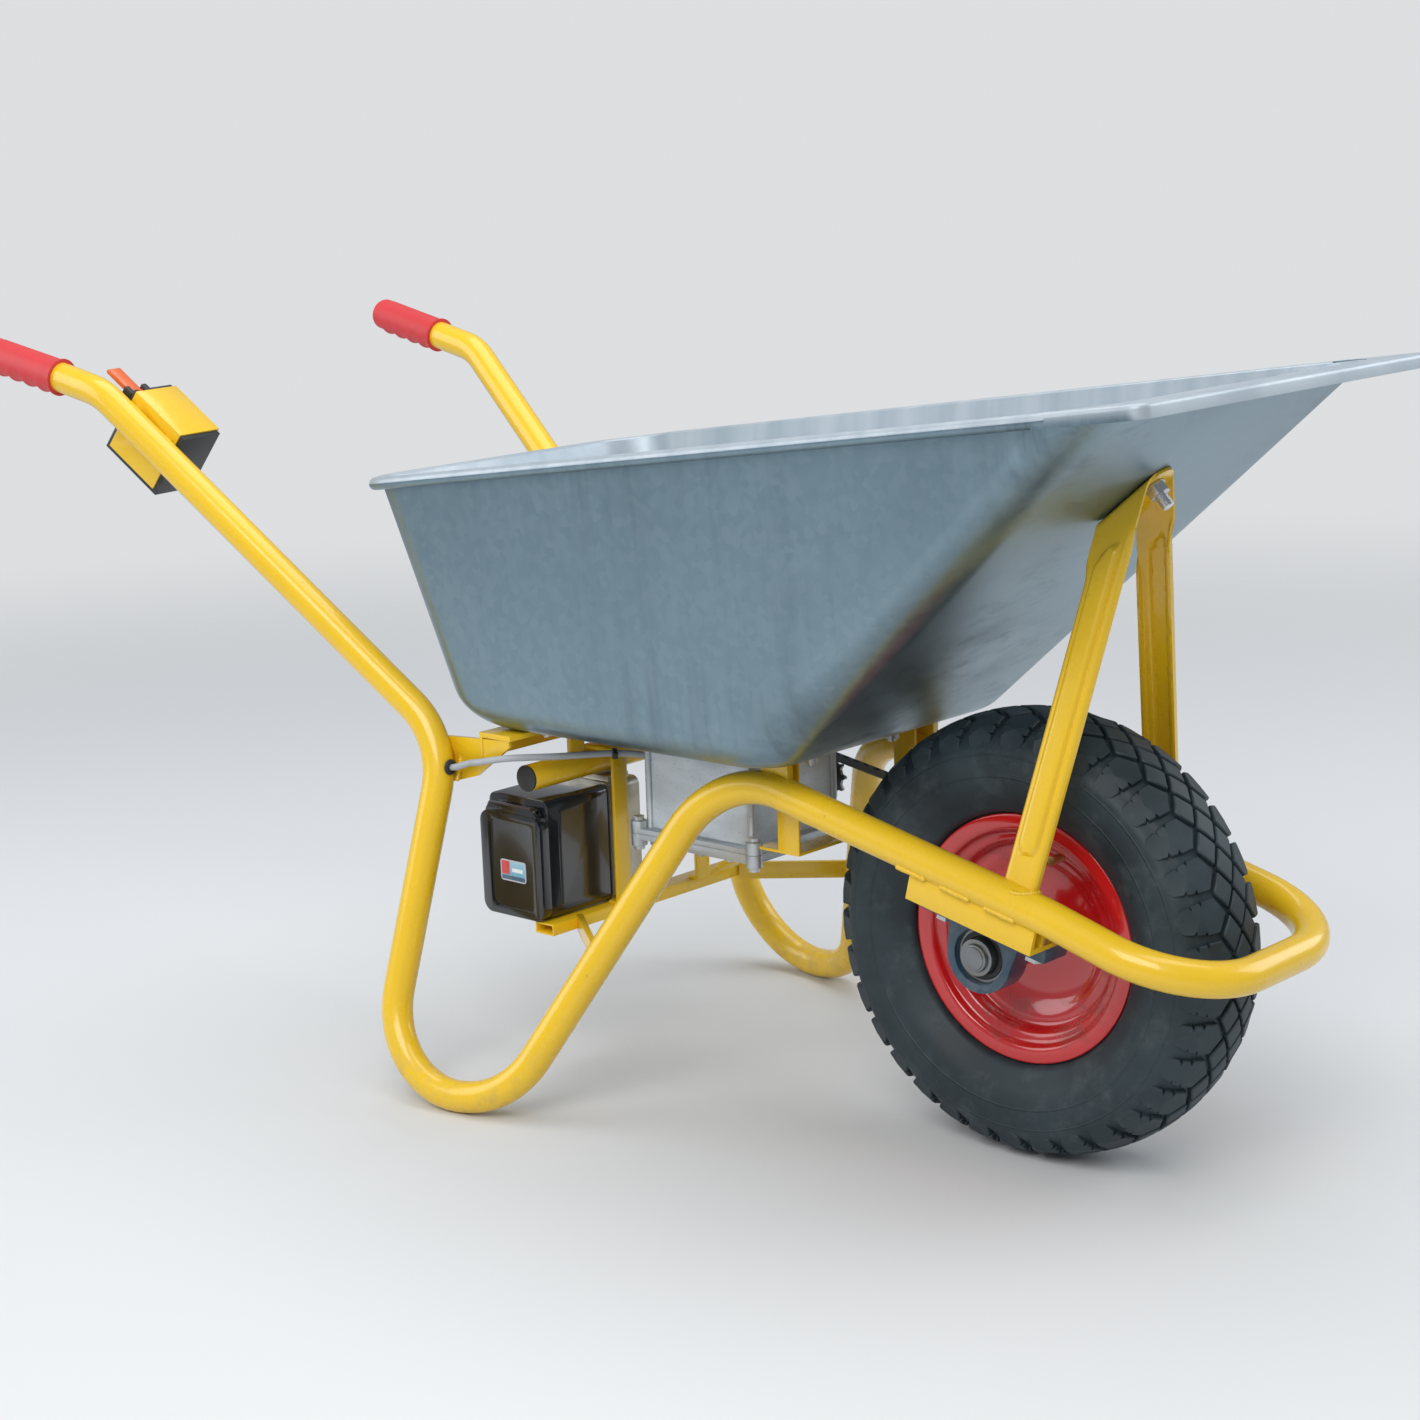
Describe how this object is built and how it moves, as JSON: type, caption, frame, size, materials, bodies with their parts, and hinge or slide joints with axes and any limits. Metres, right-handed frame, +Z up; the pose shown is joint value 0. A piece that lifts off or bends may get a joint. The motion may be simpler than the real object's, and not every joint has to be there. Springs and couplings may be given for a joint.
{
  "type": "battery-assisted builder's wheelbarrow",
  "caption": "Single-wheel builder's barrow with a one-piece bent tube frame, pressed tray, pneumatic tyre, slide-out battery, drive housing and a thumb throttle on the handle.",
  "frame": {"origin": "on the ground, at the centre of the part's bounding box seen from above", "axes": "+X forward towards the wheel, +Y to the user's left, +Z up"},
  "size_m": [1.4426, 0.6074, 0.749],
  "materials": {
    "frame_paint": "gloss yellow powder coat",
    "grip_rubber": "red moulded rubber",
    "zinc": "bright zinc",
    "galvanised_tray": "hot-dip galvanised sheet",
    "wire_steel": "plain wire",
    "black_plastic": "moulded",
    "holder_metal": "plated sheet",
    "brass": "plain",
    "battery_black": "high gloss",
    "label": "plain sticker with no lettering",
    "cell_wrap": "shrink wrap",
    "housing_metal": "die-cast, bare",
    "motor_metal": "plain",
    "board": "moulded",
    "machined_steel": "machined, oiled",
    "blue_casting": "blue enamel over cast iron",
    "seal_rubber": "black rubber",
    "nipple_green": "cap",
    "rim_red": "gloss red enamel",
    "tyre": "tread rubber",
    "lever_orange": "moulded",
    "lead_grey": "grey sheath"
  },
  "bodies": {
    "chassis": {"handle_right": "frame_paint", "handle_left": "frame_paint", "leg_right": "frame_paint", "leg_left": "frame_paint", "rail_right": "frame_paint", "rail_left": "frame_paint", "guard_loop": "frame_paint", "grip_right": "grip_rubber", "grip_left": "grip_rubber", "front_strut": "frame_paint", "strut_bolt": "zinc", "tray": "galvanised_tray", "rim_wire": "wire_steel", "front_crossbar": "frame_paint", "rear_crossmember": "frame_paint", "tray_bolts": "zinc", "lower_crossbar": "frame_paint", "leg_braces": "frame_paint", "battery_tube": "frame_paint", "tube_caps": "black_plastic", "battery_straps": "frame_paint", "battery_holder": "holder_metal", "holder_contacts": "brass", "drive_housing": "housing_metal", "housing_lid": "housing_metal", "housing_screws": "zinc", "housing_strap": "frame_paint", "gear_motor": "motor_metal", "control_board": "board", "drive_chain": "machined_steel", "bearing_plates": "frame_paint", "bearing_blocks": "blue_casting", "bearing_outer_rings": "machined_steel", "bearing_seals": "seal_rubber", "grease_nipples": "nipple_green", "block_bolts": "zinc", "switch_bracket": "frame_paint", "switch_housing": "black_plastic", "lever_spring": "machined_steel", "micro_switch": "board", "cable": "lead_grey", "cable_grommets": "black_plastic", "cable_tie": "black_plastic"},
    "wheel": {"axle_shaft": "machined_steel", "wheel_hub": "rim_red", "rim_discs": "rim_red", "tyre": "tyre", "inner_tube": "seal_rubber", "tube_valve": "brass", "wheel_sprocket": "machined_steel", "bearing_inner_rings": "machined_steel", "bearing_balls": "machined_steel"},
    "motor_output": {"motor_sprocket": "machined_steel"},
    "battery_pack": {"battery_case": "battery_black", "battery_cells": "cell_wrap"},
    "battery_flap": {"battery_door": "battery_black", "battery_label": "label"},
    "throttle": {"throttle_lever": "lever_orange"}
  },
  "joints": [
    {"name": "wheel_spin", "type": "hinge", "parent": "chassis", "child": "wheel", "pos_m": [0.46925, 0, 0.2075], "axis": [0, 1, 0], "continuous": true},
    {"name": "motor_spin", "type": "hinge", "parent": "chassis", "child": "motor_output", "pos_m": [0.16925, 0, 0.302], "axis": [0, 1, 0], "continuous": true},
    {"name": "battery_slide", "type": "slide", "parent": "chassis", "child": "battery_pack", "axis": [0, -1, 0], "range_m": [0, 0.084]},
    {"name": "battery_flap_hinge", "type": "hinge", "parent": "battery_pack", "child": "battery_flap", "pos_m": [-0.05675, -0.156, 0.281], "axis": [-1, 0, 0], "range_deg": [0, 70]},
    {"name": "throttle_press", "type": "hinge", "parent": "chassis", "child": "throttle", "pos_m": [-0.52498, -0.23449, 0.6871], "axis": [0.1997, -0.9799, 0], "range_deg": [0, 15], "stiffness_Nm_per_rad": 0.2, "springref_deg": -8.59}
  ],
  "couplings": [
    {"joint": "motor_spin", "follows": "wheel_spin", "ratio": 2.7273}
  ]
}
